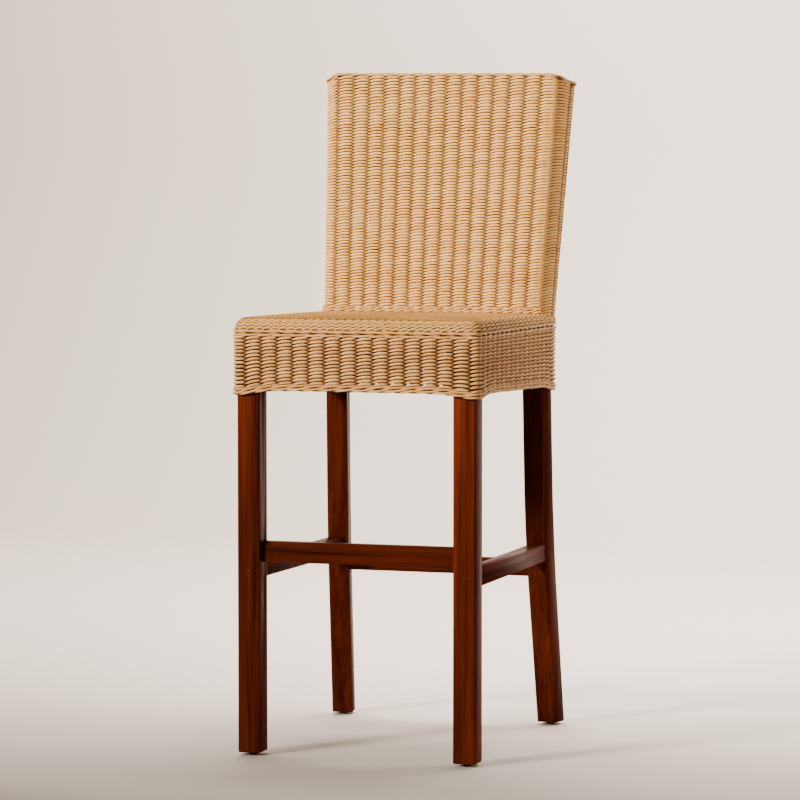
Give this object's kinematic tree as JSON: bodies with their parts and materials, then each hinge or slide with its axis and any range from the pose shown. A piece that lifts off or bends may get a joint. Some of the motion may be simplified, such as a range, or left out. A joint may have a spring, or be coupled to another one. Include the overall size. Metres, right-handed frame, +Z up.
{
  "type": "bar stool",
  "caption": "Bar stool with a hardwood frame, square legs, a footrest bar between stretchers, and a woven cane seat, skirt and tall raked back.",
  "frame": {"origin": "on the floor under the middle of the stool's bounding box", "axes": "+Z up, -Y towards the front of the seat, +X towards the right seen from the front"},
  "size_m": [0.4712, 0.558, 1.176],
  "materials": {
    "leg_wood": "red-brown stained hardwood with a semi-gloss lacquer",
    "stretcher_wood": "red-brown stained hardwood with a semi-gloss lacquer",
    "hidden_wood": "unfinished hardwood with stain spilling over its edges",
    "plug_wood": "stained end-grain plug, flush and lacquered",
    "cane_seat": "tight weave of round cane, satin, honey and tan",
    "cane_skirt": "tight weave of round cane over stakes, satin, honey to pale straw",
    "cane_back": "tight weave of round cane over stakes, satin, honey to pale straw",
    "cane_border": "braided round cane, satin",
    "screw_steel": "zinc-plated steel",
    "glide_plastic": "dark moulded plastic"
  },
  "bodies": {
    "root": {"front_leg_left": "leg_wood", "front_leg_right": "leg_wood", "rear_post_left": "leg_wood", "rear_post_right": "leg_wood", "footrest_bar": "stretcher_wood", "rear_stretcher": "stretcher_wood", "side_stretcher_left": "stretcher_wood", "side_stretcher_right": "stretcher_wood", "seat_rail_front": "hidden_wood", "seat_rail_rear": "hidden_wood", "seat_rail_left": "hidden_wood", "seat_rail_right": "hidden_wood", "seat_batten_front": "hidden_wood", "seat_batten_rear": "hidden_wood", "corner_block_front_left": "hidden_wood", "corner_block_front_right": "hidden_wood", "corner_block_rear_left": "hidden_wood", "corner_block_rear_right": "hidden_wood", "back_rail_bottom": "hidden_wood", "back_rail_middle": "hidden_wood", "back_rail_top": "hidden_wood", "screw_plugs": "plug_wood", "corner_block_screws": "screw_steel", "stretcher_screws": "screw_steel", "glide_front_left": "glide_plastic", "glide_front_right": "glide_plastic", "glide_rear_left": "glide_plastic", "glide_rear_right": "glide_plastic", "seat_weave": "cane_seat", "skirt_weave_front": "cane_skirt", "skirt_weave_left": "cane_skirt", "skirt_weave_right": "cane_skirt", "skirt_weave_rear": "cane_skirt", "back_weave_front": "cane_back", "back_weave_rear": "cane_back", "back_weave_left": "cane_back", "back_weave_right": "cane_back", "back_weave_top": "cane_back", "skirt_border_top": "cane_border", "skirt_border_bottom": "cane_border", "back_border_base": "cane_border", "back_border_top": "cane_border"}
  },
  "joints": []
}
